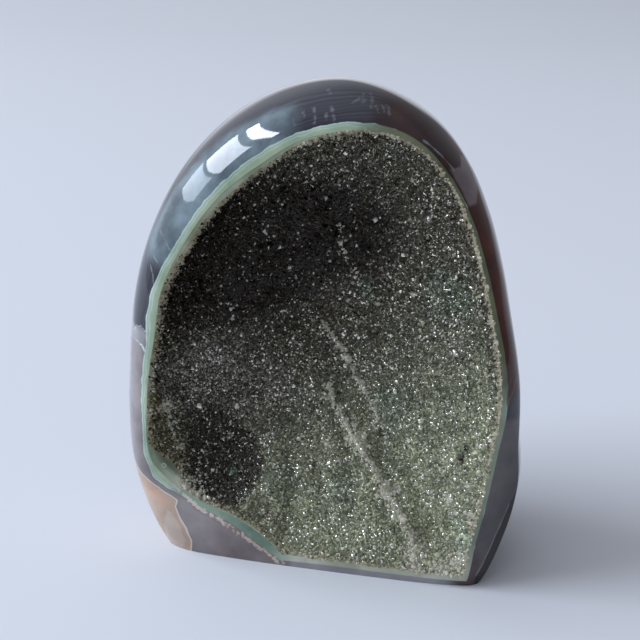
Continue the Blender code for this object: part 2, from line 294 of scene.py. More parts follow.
LENS = [(66, 1.9), (65, 9.0), (61, 10.6), (57.5, 9.0), (55.3, 5.5), (55.8, 3.0), (60, 2.3)]
MAUVE = [(57, 1.6), (55, 5.5), (57, 9.5), (55, 12.0), (49, 9.0), (46, 4.0), (47, 1.4), (52, 1.2)]
VEINS = [[(46, 8.1), (41.8, 7.8), (37.6, 7.3), (35, 7.7)], [(150.2, 11), (150.4, 8.8), (150.8, 4.7), (151.9, 2.1)],
         [(159.7, 6.2), (162.1, 3.4), (165.0, 2.2)], [(66, 1.9), (60, 2.3), (56, 2.6)],
         [(155, 7.5), (157.5, 5.5), (157.8, 3.6)], [(223, 8.0), (226.5, 6.6), (229, 6.4)], [(226.5, 6.6), (230, 9.5)]]
WISPS = [[(92.3, 12.6), (91.5, 10.2)], [(97.2, 6.4), (96.8, 4.9)], [(94.6, 6.7), (94.1, 4.6), (93.9, 2.8)],
         [(90.4, 6.4), (89.6, 4.4), (88.9, 2.7)], [(91.2, 4.6), (90.9, 3.0)], [(85.5, 6.7), (84.4, 8.0), (83.9, 10.4)],
         [(83.1, 6.8), (83.0, 8.7)], [(82.4, 11.1), (81.5, 9.2), (80.7, 5.6)], [(79.8, 6.6), (78.7, 4.4)],
         [(78.7, 7.6), (77.6, 5.2)], [(77.4, 7.4), (76.2, 4.6)], [(99.6, 5.4), (99.2, 3.8)]]
CREASE = [(321.5, 9.0), (319.0, 8.4), (315.7, 7.5), (312.2, 6.4), (309.4, 5.1), (306.8, 3.7)]
WEDGE = CREASE + [(305.0, 4.2), (303.5, 9.0), (308, 16.0), (322, 18.0), (326, 13.0), (324.5, 10.4)]
PINK_LINE = [[(226.5, 0.3), (230.5, 0.9), (235, 1.7), (239.4, 2.1), (245.4, 2.6), (251.6, 3.0), (256, 2.9), (262, 2.0)]]
RUST = [[(350.6, 0.6), (352.7, 1.3), (355, 2.2)], [(344.0, 0.8), (346.8, 1.1), (349.2, 1.7), (352, 2.9), (355, 4.1)]]
MM_PER_DEGREE = 0.85


def unrolled_distance(turn, rim, paths):
    """Distance in millimetres to the nearest of some lines on the unrolled surface."""
    lines = [[(a * MM_PER_DEGREE, b) for a, b in path] for path in paths]
    return np.min([path_distance(turn * MM_PER_DEGREE, rim, line)[0] for line in lines], axis=0)


def inside_distance(x, y, corners):
    """Distance from the edge of a closed patch, positive inside it."""
    inside = np.zeros(np.shape(x), bool)
    for (x0, y0), (x1, y1) in zip(corners, corners[1:] + corners[:1]):
        crossing = (y0 > y) != (y1 > y)
        inside ^= crossing & (x < x0 + (y - y0) * (x1 - x0) / (y1 - y0 + 1e-12))
    edge = path_distance(x, y, corners + corners[:1])[0]
    return np.where(inside, edge, -edge)


def unrolled_patch(turn, rim, patch):
    """Distance from a patch's edge on the unrolled surface, positive inside it."""
    return inside_distance(turn * MM_PER_DEGREE, rim, [(a * MM_PER_DEGREE, b) for a, b in patch])


def ease(value, start, end):
    """Smooth step from 0 at start to 1 at end."""
    t = np.clip((value - start) / (end - start), 0, 1)
    return t * t * (3 - 2 * t)


def stretch(turn, start, end, soft):
    """1 between two turns, with soft ends this many degrees wide."""
    return ease(turn, start - soft, start + soft) * (1 - ease(turn, end - soft, end + soft))


def stone_fields(rim, degrees):
    """The zones as one number per point of the net."""
    turn = np.broadcast_to(degrees, rim.shape)
    outer = rim / np.maximum(rim[HOLLOW_ROWS + SHOULDER_ROWS], 1)
    # On the back the zones wander, as layers do where a stone is cut at a slant.
    turn = turn + 9 * ease(outer, 1.0, 1.7) * np.sin(rim / 6 + np.radians(3 * turn))
    signed = (turn + 180) % 360 - 180
    return {
        "rim_mm": rim,
        "band_mm": round_value(BAND_WIDTH, turn) - rim,
        "maroon_mm": unrolled_patch(signed, rim, MAROON),
        "cream_mm": unrolled_patch(turn, rim, CREAM),
        "fold_mm": unrolled_patch(turn, rim, CREAM_FOLD),
        "fold_edge_mm": unrolled_patch(turn, rim, CREAM_EDGE),
        "wedge_mm": unrolled_patch(turn, rim, WEDGE),
        "crease_highlight_mm": unrolled_distance(turn, rim, [CREASE]),
        "corner": stretch(turn, 301, 310, 3) * (1 - ease(rim, 2.5, 5.5)),
        "wisp_mm": unrolled_distance(turn, rim, WISPS),
        "pink_mm": unrolled_distance(turn, rim, PINK_LINE),
        "chip_mm": unrolled_patch(turn, rim, CHIP),
        "chip_edge_mm": unrolled_distance(turn, rim, CHIP_EDGE),
        "lens_mm": unrolled_patch(turn, rim, LENS),
        "mauve_mm": unrolled_patch(turn, rim, MAUVE),
        "vein_mm": unrolled_distance(turn, rim, VEINS),
        "rust_mm": unrolled_distance(turn, rim, RUST),
        "brown": stretch(signed, -10, 80, 9) * ease(rim, 34, 18),
        "slate": stretch(turn, 303, 343, 3) * (1 - ease(outer, 1.0, 1.3)),
        "lilac": stretch(turn, 180, 300, 2.5) * (1 - ease(outer, 1.6, 2.6)),
        "blue": stretch(turn, 100, 158, 7) * (1 - ease(outer, 0.28, 0.62)),
        "wine": stretch(turn, 243, 275, 7) * (1 - ease(outer, 1.6, 2.6)),
        "dark_line": np.exp(-(((outer - 0.86) / 0.06) ** 2)) * stretch(turn, 92, 176, 8),
        "milky": stretch(turn, 176, 222, 8) * ease(outer, 0.2, 0.5) * (1 - ease(outer, 1.3, 1.8)),
        "olive": stretch(signed, -12, 80, 7),
        "lip": stretch(turn, 228, 262, 4),
        "side_band": stretch(turn, 304, 346, 5),
        "sill": stretch(turn, 263, 309, 4),
        "bevel": stretch(turn, 264, 302, 3) * (1 - ease(outer, 0.9, 1.1)),
    }


print("zones:", ", ".join(stone_fields(rim_mm, degrees)))


# %% Bend a grid round a net
def sheet_from_net(name, net, fields):
    """A grid whose points are moved to a net of rows and columns, in millimetres, and joined where
    they meet. Each field becomes an attribute that a material can read by its name."""
    rows, columns = net.shape[:2]
    bpy.ops.object.select_all(action="DESELECT")
    bpy.ops.mesh.primitive_grid_add(x_subdivisions=columns, y_subdivisions=rows - 1, size=2.0)
    piece = bpy.context.object
    piece.name = piece.data.name = name
    co = np.empty(len(piece.data.vertices) * 3)
    piece.data.vertices.foreach_get("co", co)
    column, row = np.rint((co.reshape(-1, 3)[:, :2] + 1) / 2 * (columns, rows - 1)).astype(int).T
    piece.data.vertices.foreach_set("co", (net[row, column % columns] * MM).ravel())
    for field, values in fields.items():
        add_attribute(piece, field, values[row, column % columns])
    open_edit(piece)
    bpy.ops.mesh.remove_doubles(threshold=1e-7)
    bpy.ops.mesh.normals_make_consistent(inside=False)
    bpy.ops.object.mode_set(mode="OBJECT")
    return piece


def add_attribute(piece, name, values, domain="POINT"):
    """A float value on each vertex or face."""
    layer = piece.data.attributes.new(name, "FLOAT", domain)
    layer.data.foreach_set("value", np.asarray(values, np.float32).ravel())


def open_edit(piece):
    """Edit mode on one piece, with all of it selected."""
    bpy.ops.object.select_all(action="DESELECT")
    bpy.context.view_layer.objects.active = piece
    piece.select_set(True)
    bpy.ops.object.mode_set(mode="EDIT")
    bpy.ops.mesh.select_all(action="SELECT")


stone = sheet_from_net("polished_stone", stone_net, stone_fields(rim_mm, degrees))
open_edit(stone)
bpy.ops.mesh.bisect(plane_co=(0, 0, 0), plane_no=(0, 0, -1), use_fill=True, clear_outer=True, threshold=1e-6)
bpy.ops.mesh.select_all(action="SELECT")
bpy.ops.mesh.normals_make_consistent(inside=False)
bpy.ops.object.mode_set(mode="OBJECT")
bpy.ops.object.shade_smooth_by_angle(angle=math.radians(30))
print("stone:", len(stone.data.polygons), "faces")

# %% [markdown]
# ## The crust's ground
# Between the crystals lies a rough ground. It follows the hollow, starts right at the mouth's edge
# and carries the same seams, lumps and pits as the solid of the crust.

# %% Relief of the crust
WAVES = [(0.35, 16.0, 40.0, 1.0), (0.35, 19.0, -50.0, 0.0), (0.3, 24.0, 100.0, 2.0), (0.25, 7.0, 20.0, 0.5),
         (0.25, 8.5, -65.0, 2.5)]
RIDGES = [
    ([(-2.0, 34.9), (-0.5, 31.6), (1.1, 30.3), (3.0, 28.0), (5.6, 25.3), (8.1, 23.5), (9.9, 21.3), (12.6, 17.8),
      (14.6, 15.6), (16.4, 13.8), (18.9, 11.2), (20.8, 9.5), (22.3, 7.3), (22.8, 5.2), (23.2, 2.0)], 1.1, 0.8, 1.6),
    ([(-5.1, 48.4), (-2.8, 46.6), (-0.4, 43.7), (1.3, 42.0), (3.2, 38.6), (4.7, 36.2), (6.9, 33.8), (8.1, 32.4),
      (9.9, 30.1), (9.6, 27.7)], 0.9, 0.8, 0.4),
    ([(-1.4, 71.1), (-0.3, 64.0), (5.0, 56.6), (8.0, 55.1)], 1.2, 0.5, 0.3),
    ([(-38.6, 31.7), (-37.0, 27.0), (-35.8, 23.0), (-34.0, 19.0), (-32.0, 16.6)], 1.0, 0.9, 0.9),
]
LUMPS = [(31.6, 28.3, 1.3, -0.9), (-34.5, 20.0, 1.6, 0.6), (-24.0, 20.0, 6.5, -1.7), (-12.0, 16.0, 5.0, 1.0)]


def relief(x, z):
    """How far the crust stands out: its waves, ridges, lumps and pits."""
    height = np.zeros(np.shape(x))
    for wave_height, length, heading, start in WAVES:
        turn = math.radians(heading)
        height += wave_height * np.sin(math.tau * (x * math.cos(turn) + z * math.sin(turn)) / length + start)
    for path, width, start_height, end_height in RIDGES:
        distance, along = path_distance(x, z, path)
        height += (start_height + (end_height - start_height) * along) * np.exp(-((distance / width) ** 2))
    for lump_x, lump_z, width, lump_height in LUMPS:
        height += lump_height * np.exp(-((x - lump_x) ** 2 + (z - lump_z) ** 2) / width**2)
    return height


GROUND_COLUMNS, GROUND_ROWS = 390, 110
ground_degrees = np.arange(GROUND_COLUMNS) * 360 / GROUND_COLUMNS
ground_fraction = np.linspace(0, 1, GROUND_ROWS + 1)
ground_edge = 0.05 + 1.1 * np.clip((1 - ground_fraction) / 0.04, 0, 1)
ground_x, ground_z, ground_depth = bowl_grid(ground_degrees, ground_fraction, ground_edge, 2.0)
ground_relief = relief(ground_x, ground_z) * np.clip((1 - ground_fraction) / 0.12, 0, 1)[:, None]
ground_net = place(ground_x, ground_z, ground_depth - ground_relief)
ground_step = np.linalg.norm(np.diff(ground_net, axis=0), axis=2)
wall_mm = np.vstack([np.cumsum(ground_step[::-1], axis=0)[::-1], np.zeros(GROUND_COLUMNS)])
print("ground of", GROUND_ROWS, "rows, up to", round(float(wall_mm.max()), 1), "mm from the mouth's edge")

# %% [markdown]
# The crust has its own zones. It is brown-black and clear at the upper left, where painted shade of
# the rim darkens it more, greyer in the middle, and a dull olive green toward the lower right, painted
# lighter where the light falls on it. A pocket at the lower left is painted dark as painted shadow, and
# a patch of the left wall is painted lighter. Pale quartz covers the seams and the lower right corner.

# %% Zones of the crust
# How wide the rim of small pale grains is, as (degrees round the front view, mm).
EDGE_WIDTH = [(0, 1.0), (45, 1.0), (70, 1.3), (95, 1.7), (115, 2.4), (155, 2.2), (180, 1.7), (210, 1.2), (250, 1.2), (290, 0.7), (330, 0.9)]
# The pocket at the lower left is painted dark: painted shadow that the left rim casts into it.
SHADED_POCKET = [(-35.5, 28.0), (-34.0, 22.0), (-32.0, 17.0), (-28.5, 12.6), (-19.0, 10.6), (-15.8, 13.6), (-15.4, 18.0),
          (-18.6, 22.4), (-24.0, 24.5), (-29.0, 27.0)]
# The lighter strip of wall beside the pocket, as (degrees, mm down the wall).
LEFT_STRIP = [(199, 0.0), (201, 3.0), (204, 6.5), (207.7, 8.5), (213, 9.2), (219.7, 9.1), (223.5, 6.0), (227.1, 2.0),
              (229, 0.0), (225, -3.0), (203, -3.0)]
STRIP_EDGE = [(205.5, 7.2), (207.7, 8.5), (213, 9.2), (219.7, 9.1), (223.5, 6.0), (227.1, 2.0), (230.5, 1.2), (235, 1.0)]
PALE_PATCHES = [(-0.2, 43.6, 0.9), (3.2, 38.6, 0.9), (8.1, 32.4, 0.45), (0.9, 30.4, 0.9), (5.8, 25.4, 1.3),
                (8.0, 23.6, 1.0), (12.8, 17.8, 0.8), (14.5, 15.8, 1.2), (22.9, 4.6, 1.7), (23.0, 2.2, 1.8),
                (27.3, 2.6, 1.5), (29.6, 3.2, 1.6), (31.6, 4.4, 1.5), (32.9, 6.0, 1.0), (34.2, 15.9, 1.0),
                (-38.1, 30.8, 0.45), (-37.8, 29.4, 0.45), (28.7, 17.3, 0.8), (-31.2, 13.8, 1.9), (-33.2, 15.6, 1.3), (-27.5, 12.0, 1.2),
                (7.4, 25.8, 0.8), (16.6, 16.4, 0.7)]
PATCHES_TEAL = [(-11.0, 15.5, 4.0), (14.0, 33.0, 6.0), (4.0, 15.0, 4.0), (6.0, 57.0, 3.0), (26.0, 60.0, 7.0)]


def spots(x, z, patches):
    """The strongest of some round soft patches at each point."""
    return np.max([np.exp(-((x - a) ** 2 + (z - b) ** 2) / r**2) for a, b, r in patches], axis=0)


def crust_fields(x, z, from_rim, turn):
    """The crust's zones as one number per point."""
    along, across = (x + 22) * 0.68 + (z - 64) * 0.73, (z - 64) * 0.68 - (x + 22) * 0.73
    # The upper left is smoky quartz and painted shade, because the rim shades that side of the hollow. A second patch
    # under the top of the mouth is painted dark in the same way.
    smoke_and_shade = np.exp(-((along / 25) ** 2 + (across / 17) ** 2) ** 1.3)
    slope = 0.5 * x - 0.87 * (z - 50)
    pale = spots(x, z, PALE_PATCHES)
    for (path, width, start, end), strength in zip(RIDGES, (1.0, 0.9, 0.25, 0.06)):
        distance, ridge_along = path_distance(x, z, path)
        patchy = 0.82 + 0.18 * np.sin(ridge_along * 41) * np.sin(ridge_along * 17 + 1)
        pale = np.maximum(pale, strength * patchy * np.exp(-((distance / (0.42 + 0.3 * ridge_along * patchy)) ** 2)))
    rim_light = stretch((turn + 180) % 360 - 180, -30, 172, 8)
    inner = round_value(INNER_BAND, turn)
    glass = (1 - ease(from_rim, inner - 0.3, inner + 0.3)) * ease(inner, 0.0, 0.35)
    from_band = np.maximum(from_rim - inner, 0)
    strip_edge = unrolled_distance(turn, from_rim, [STRIP_EDGE])
    pale = np.maximum(pale, 0.7 * np.exp(-((strip_edge / 0.36) ** 2)))
    return {
        "smoke_and_shade": np.minimum(smoke_and_shade + 0.8 * np.exp(-((x - 2) ** 2 / 110 + (z - 70) ** 2 / 80)), 1.0),
        # Painted light: the crust is olive green, and it is painted lighter toward the lower right, where the light
        # falls on it.
        "olive": ease(slope, -14, 52),
        "shaded_pocket": ease(inside_distance(x, z, SHADED_POCKET), -1.0, 1.2),
        "strip": ease(unrolled_patch(turn, from_rim, LEFT_STRIP), -0.4, 0.5),
        "glass": glass,
        "deep_glass": glass * ease(from_rim, 0.9, 2.2) * ease(turn, 205, 215),
        "mint": spots(x, z, [(33.2, 9.5, 2.4), (32.2, 13.0, 1.6)]),
        # A small pit at the right is painted near black: painted shade in its hollow. No facets flash there.
        "pit": spots(x, z, [(31.7, 28.9, 1.3), (31.2, 26.9, 1.1), (32.5, 25.2, 0.7)]),
        "teal": spots(x, z, PATCHES_TEAL),
        # Painted light: the left wall of the hollow is painted a lighter grey, and more of its facets flash.
        "grey_painted_light": spots(x, z, [(-30.0, 36.0, 11.0), (-18.0, 31.0, 8.0)]),
        "warm": np.exp(-((from_band / 3.0) ** 2)) * (1 - 0.7 * ease(slope, 10, 40)) * (1 - glass),
        # The rim of pale grains is pale quartz and also painted light: its colour is raised toward white where it lies
        # in the rim's shade.
        "edge": np.exp(-((from_band / round_value(EDGE_WIDTH, turn)) ** 2)) * (0.75 + 0.25 * rim_light) * (1 - 0.6 * glass),
        "pale": pale,
    }


# %% The ground's mesh
def net_normals(net):
    """Unit normals of a net, toward the viewer (-Y)."""
    across = np.roll(net, -1, axis=1) - np.roll(net, 1, axis=1)
    outward = np.gradient(net, axis=0)
    normal = np.cross(across, outward)
    normal[0] = normal[1].mean(axis=0)
    normal /= np.linalg.norm(normal, axis=2, keepdims=True) + 1e-12
    flip = np.sign(np.sum(normal[1:-1, :, 1]))
    return normal * -flip


ground_normal = net_normals(ground_net)
ground_turn = np.broadcast_to(ground_degrees, ground_x.shape)
ground_fields = crust_fields(ground_x, ground_z, wall_mm, ground_turn)
ground = sheet_from_net("crust_ground", ground_net, ground_fields)
print("ground:", len(ground.data.polygons), "faces")

# %% [markdown]
# ## The crystals
# Druzy is a carpet of quartz points, each a six-sided pyramid about half a millimetre wide. They
# are modelled once as a pyramid and repeated with their own size, turn and tilt. To spread them
# evenly, the ground is sprinkled densely with random points, and one point is kept in each small
# cube of space.

# %% Sprinkle points on the ground
GRAIN_SPACING = 0.48


def sprinkle(net, normal, spacing, rng):
    """Random points on a net, one per cube of this spacing: position, normal, row and column."""
    a, b, c, d = net[:-1], np.roll(net, -1, 1)[:-1], np.roll(net, -1, 1)[1:], net[1:]
    area = (np.linalg.norm(np.cross(b - a, d - a), axis=2) + np.linalg.norm(np.cross(b - c, d - c), axis=2)) / 2
    chance = (area / area.sum()).ravel()
    count = int(area.sum() / spacing**2 * 8)
    cell = rng.choice(len(chance), size=count, p=chance)
    row, column = np.divmod(cell, net.shape[1])
    u, v = rng.random((2, count, 1))
    following = (column + 1) % net.shape[1]

    def blend(grid):
        return ((grid[row, column] * (1 - u) + grid[row, following] * u) * (1 - v)
                + (grid[row + 1, column] * (1 - u) + grid[row + 1, following] * u) * v)

    position = blend(net)
    cube = np.floor(position / spacing).astype(np.int64)
    key = (cube[:, 0] * 4096 + cube[:, 1]) * 4096 + cube[:, 2]
    kept = np.unique(key, return_index=True)[1]
    direction = blend(normal)[kept]
    direction /= np.linalg.norm(direction, axis=1, keepdims=True)
    return position[kept], direction, (row + v[:, 0])[kept], column[kept], area.sum()


grain_at, grain_normal, grain_row, grain_column, crust_area = sprinkle(ground_net, ground_normal, GRAIN_SPACING, rng)
print(len(grain_at), "grains on", round(crust_area), "square mm")


# %% Build crystal points
def crystal_points(at, normal, radius, height, tilt, rng):
    """Six-sided pyramids, all in one array: 7 corners each, 6 faces each."""
    count = len(at)
    axis = normal + rng.normal(size=(count, 3)) * tilt
    axis /= np.linalg.norm(axis, axis=1, keepdims=True)
    side = np.cross(axis, rng.normal(size=(count, 3)))
    side /= np.linalg.norm(side, axis=1, keepdims=True)
    other = np.cross(axis, side)
    angle = np.arange(6) * math.pi / 3
    stray = rng.uniform(-0.22, 0.22, (count, 2))
    ring = (side[:, None] * np.cos(angle)[None, :, None] + other[:, None] * np.sin(angle)[None, :, None])
    ring = at[:, None] + ring * radius[:, None, None] - axis[:, None] * (0.35 * radius)[:, None, None]
    tip = at + axis * height[:, None] + (side * stray[:, :1] + other * stray[:, 1:]) * radius[:, None]
    corners = np.concatenate([tip[:, None], ring], axis=1)
    first = np.arange(count)[:, None] * 7
    steps = np.arange(6)
    faces = np.stack([np.zeros(6, int), 1 + steps, 1 + (steps + 1) % 6], 1)
    return corners.reshape(-1, 3), (first[:, :, None] + faces[None]).reshape(-1, 3)


def mesh_piece(name, corners, faces):
    """An object from arrays of corners, in millimetres, and triangles."""
    mesh = bpy.data.meshes.new(name)
    mesh.vertices.add(len(corners))
    mesh.vertices.foreach_set("co", (corners * MM).ravel())
    mesh.loops.add(faces.size)
    mesh.loops.foreach_set("vertex_index", faces.ravel())
    mesh.polygons.add(len(faces))
    mesh.polygons.foreach_set("loop_start", np.arange(len(faces)) * 3)
    mesh.update(calc_edges=True)
    piece = bpy.data.objects.new(name, mesh)
    bpy.context.scene.collection.objects.link(piece)
    return piece


# %% Place the crystals
front_x, front_z = grain_at[:, 0] + ORIGIN[0], grain_at[:, 2] + ORIGIN[2]
grain_from_rim = wall_mm[np.rint(grain_row).astype(int), grain_column]
grain_fields = crust_fields(front_x, front_z, grain_from_rim, ground_degrees[grain_column])
# No crystals grow on the smooth green glass.
grown = rng.random(len(grain_at)) > grain_fields["glass"] * 1.1
grain_at, grain_normal = grain_at[grown], grain_normal[grown]
grain_fields = {name: values[grown] for name, values in grain_fields.items()}
count = len(grain_at)
# A pale cluster is made of whole pale grains, so each grain draws a lot.
grain_fields["pale"] = (rng.random(count) < grain_fields["pale"] ** 0.6) * rng.uniform(0.4, 1.0, count)
grain_fields["edge"] = (rng.random(count) < grain_fields["edge"]) * rng.uniform(0.5, 1.0, count)
grain_size = rng.lognormal(-1.11, 0.28, count) * (1 + 0.2 * grain_fields["pale"] - 0.45 * grain_fields["glass"])
large = rng.random(count) < 0.012 * (grain_fields["edge"] < 0.05)
grain_size = np.where(large, rng.uniform(0.55, 0.95, count), np.clip(grain_size, 0.18, 0.75))
grain_height = grain_size * rng.uniform(0.7, 1.5, count)
# The facets of one grain differ in brightness, most of all where the quartz is clear and dark.
contrast = 0.8 - 0.56 * grain_fields["olive"] + 0.3 * grain_fields["smoke_and_shade"] - 0.3 * grain_fields["mint"]
facet_tone = np.exp(rng.normal(size=(count, 6)) * contrast[:, None] - contrast[:, None] ** 2 / 2)
facet_tone = np.minimum(facet_tone * rng.lognormal(-0.06, 0.35, (count, 1)), 5.0)
# Here and there a crystal catches the window from the inside. These are painted glints: one to four facets of a grain,
# or now and then all six, are painted near white.
calm = (1 - grain_fields["pit"]) * (1 - 0.78 * grain_fields["smoke_and_shade"]) * (1 + 0.4 * grain_fields["olive"])
calm *= (1 + 0.8 * grain_fields["grey_painted_light"]) * (1 - 0.1 * grain_fields["shaded_pocket"])
flashing = rng.random(count) < 0.36 * calm * (1 - 0.6 * grain_fields["edge"])
facet_glint = np.zeros((count, 6))
facet_glint[rng.random(count) < 0.05 * calm * (1 - grain_fields["edge"])] = 0.78
first_facet = rng.integers(0, 6, count)
for extra, chance in enumerate((1.0, 0.7, 0.4, 0.2)):
    lit = flashing & (rng.random(count) < chance)
    facet_glint[lit, (first_facet[lit] + extra) % 6] = rng.random(lit.sum()) ** 1.5
facet_glint *= 1 - 0.3 * grain_fields["smoke_and_shade"][:, None]
GRAIN_PIECES = 4
crystal_pieces = []
for part in range(GRAIN_PIECES):
    chosen = np.arange(count) % GRAIN_PIECES == part
    corners, faces = crystal_points(grain_at[chosen], grain_normal[chosen], grain_size[chosen],
                                    grain_height[chosen], 0.42, rng)
    piece = mesh_piece(f"crystals_{part + 1}", corners, faces)
    for name, values in grain_fields.items():
        add_attribute(piece, name, np.repeat(values[chosen], 6), "FACE")
    add_attribute(piece, "tone", facet_tone[chosen], "FACE")
    add_attribute(piece, "glint", facet_glint[chosen], "FACE")
    crystal_pieces.append(piece)
    print(piece.name, len(piece.data.polygons), "faces")

# %% [markdown]
# ## Materials

# %% [markdown]
# Both stones are painted in layers. Each layer has a mask, cut from one of the fields above between
# two of its values, and two colours that a soft cloud mixes. A waver moves the mask's edge by a
# fraction of a millimetre, as in a natural stone.

# %% Paint a material in layers
def paint_layers(tree, start_colour, layers, waver, cloud):
    """Lay colours over each other. A layer is (field, from, to, waver in mm, share, low, high)."""
    skin = start_colour
    for field, start, end, sway, share, low, high in layers:
        value = add_node(tree, "ShaderNodeAttribute", attribute_name=field).outputs["Fac"]
        value = add_node(tree, "ShaderNodeMath", {0: waver, 1: sway, 2: value}, operation="MULTIPLY_ADD").outputs[0]
        mask = add_node(tree, "ShaderNodeMapRange", {"Value": value, "From Min": start, "From Max": end, "To Max": share},
                        interpolation_type="SMOOTHSTEP").outputs["Result"]
        colour = add_node(tree, "ShaderNodeMix", {0: cloud, 6: to_linear(low), 7: to_linear(high)}, data_type="RGBA")
        skin = add_node(tree, "ShaderNodeMix", {0: mask, 6: skin, 7: colour.outputs[2]}, data_type="RGBA").outputs[2]
    return skin


def add_cloud(tree, scale, detail, low, high):
    """Soft noise on Object coordinates from 0 to 1, spread between two of its values."""
    coords = add_node(tree, "ShaderNodeTexCoord").outputs["Object"]
    noise = add_node(tree, "ShaderNodeTexNoise", {"Vector": coords, "Scale": scale, "Detail": detail})
    return add_node(tree, "ShaderNodeMapRange", {"Value": noise.outputs["Fac"], "From Min": low, "From Max": high,
                                                 "To Min": 0.0, "To Max": 1.0}).outputs["Result"]


# %% Polished chalcedony
# Chalcedony with a wheel polish: a hard bright gloss over colours that seem to lie under the surface.
stone_material, tree, shader = new_material("polished_chalcedony")
cloud = add_cloud(tree, 130.0, 5.0, 0.32, 0.66)
waver = add_node(tree, "ShaderNodeMath", {0: add_cloud(tree, 300.0, 5.0, 0.0, 1.0), 1: 0.5}, operation="SUBTRACT").outputs[0]
# The stone grew in layers, so its streaks follow the distance from the mouth.
rim = add_node(tree, "ShaderNodeAttribute", attribute_name="rim_mm").outputs["Fac"]
layer = add_node(tree, "ShaderNodeMath", {0: add_cloud(tree, 45.0, 3.0, 0.0, 1.0), 1: 6.0, 2: rim}, operation="MULTIPLY_ADD")
streaks = add_node(tree, "ShaderNodeTexNoise", {"W": layer.outputs[0], "Scale": 1.1, "Detail": 6.0, "Roughness": 0.7},
                   noise_dimensions="1D").outputs["Fac"]
streaks = add_node(tree, "ShaderNodeMapRange", {"Value": streaks, "From Min": 0.35, "From Max": 0.68}).outputs["Result"]
base = add_node(tree, "ShaderNodeMix", {0: streaks, 6: to_linear("#23242d"), 7: to_linear("#42444f")}, data_type="RGBA")
STONE_LAYERS = [
    ("blue", 0.1, 0.85, 0.4, 0.92, "#5a676f", "#90a6ae"),
    ("dark_line", 0.2, 0.9, 0.15, 0.85, "#1a1920", "#282730"),
    ("brown", 0.1, 0.9, 0.5, 0.97, "#200f0f", "#3d211d"),
    ("maroon_mm", -0.2, 0.3, 1.0, 0.95, "#35130c", "#56291d"),
    ("mauve_mm", -0.4, 0.5, 1.0, 0.9, "#71676a", "#8d8284"),
    ("slate", 0.2, 0.8, 0.3, 1.0, "#4d4a4d", "#645f60"),
    ("corner", 0.1, 0.9, 0.2, 0.75, "#43312f", "#574443"),
    ("wedge_mm", -0.1, 0.2, 0.1, 0.95, "#1d1719", "#2f282c"),
    # Painted highlight: a thin pale line along the crease of the lower right facet.
    ("crease_highlight_mm", 0.32, 0.0, 0.4, 0.6, "#817d86", "#a8a5ac"),
    ("lilac", 0.2, 0.8, 0.2, 1.0, "#7e777a", "#a29b9b"),
    ("milky", 0.1, 0.9, 0.2, 0.7, "#9b989c", "#b9b6b8"),
    ("wine", 0.0, 0.9, 0.3, 0.6, "#5f5254", "#7a6c6c"),
    ("bevel", 0.1, 0.9, 0.2, 0.85, "#85848a", "#a09fa3"),
    ("lens_mm", 0.0, 0.35, 0.8, 1.0, "#241616", "#3f2c2b"),
    ("vein_mm", 0.35, 0.0, 1.3, 0.5, "#8c979d", "#c3cccd"),
    ("rust_mm", 0.42, 0.0, 1.3, 0.75, "#5f3a26", "#93623d"),
    ("cream_mm", 0.0, 0.12, 0.9, 1.0, "#d5cabf", "#ece4da"),
    ("cream_mm", 0.2, 0.5, 1.2, 1.0, "#b39a86", "#d4bca7"),
    ("fold_mm", 0.0, 0.2, 1.4, 0.9, "#c39a84", "#dfb9a3"),
    ("fold_edge_mm", 0.0, 0.5, 1.2, 0.85, "#bfb0a2", "#ddd0c3"),
    ("chip_mm", 0.0, 0.4, 1.2, 0.45, "#8b989c", "#a9b3b5"),
    ("chip_edge_mm", 0.32, 0.0, 1.0, 0.9, "#c9d6d4", "#eef3f0"),
    ("pink_mm", 1.1, 0.3, 1.6, 0.6, "#7c625b", "#947a70"),
    ("band_mm", -0.12, 0.1, 1.5, 0.9, "#b2cfbf", "#deeee5"),
    ("band_mm", 0.2, 0.4, 1.1, 1.0, "#8fae97", "#bcd2bd"),
    ("band_mm", 0.62, 0.76, 2.0, 0.6, "#b2c7b2", "#dae8d8"),
    ("band_mm", 0.85, 1.05, 2.0, 0.9, "#93a98b", "#bdcbac"),
]
skin = paint_layers(tree, base.outputs[2], STONE_LAYERS, waver, cloud)
# The band turns olive at the right and pale grey-green along the sill, and grainy at the crystals.
green_parts = [("olive", "#545b45", "#787e62"), ("lip", "#5f7c6b", "#93aa96"), ("side_band", "#7b8772", "#98a38c"), ("sill", "#a3a791", "#cdd0bd")]
inside_band = add_node(tree, "ShaderNodeAttribute", attribute_name="band_mm").outputs["Fac"]
inside_band = add_node(tree, "ShaderNodeMapRange", {"Value": inside_band, "From Min": -0.3, "From Max": -0.05}).outputs["Result"]
for name, low, high in green_parts:
    there = add_node(tree, "ShaderNodeAttribute", attribute_name=name).outputs["Fac"]
    there = add_node(tree, "ShaderNodeMath", {0: there, 1: inside_band}, operation="MULTIPLY").outputs[0]
    colour = add_node(tree, "ShaderNodeMix", {0: cloud, 6: to_linear(low), 7: to_linear(high)}, data_type="RGBA")
    skin = add_node(tree, "ShaderNodeMix", {0: there, 6: skin, 7: colour.outputs[2]}, data_type="RGBA").outputs[2]
# Fine broken marks: feathery wisps high up, and crumbs along the band at the lower left.
fine = add_node(tree, "ShaderNodeMath", {0: add_cloud(tree, 1100.0, 3.0, 0.25, 0.75), 1: 0.5}, operation="SUBTRACT").outputs[0]
FINE_LAYERS = [
    ("wisp_mm", 0.5, -0.1, 0.7, 0.26, "#868e97", "#b4bbc2"),
    ("pink_mm", 0.6, 0.05, 1.3, 0.85, "#b5aa9e", "#e2dace"),
]
skin = paint_layers(tree, skin, FINE_LAYERS, fine, cloud)
tree.links.new(skin, shader.inputs["Base Color"])
shader.inputs["Roughness"].default_value = 0.04
shader.inputs["Specular IOR Level"].default_value = 0.5
shader.inputs["IOR"].default_value = 1.54
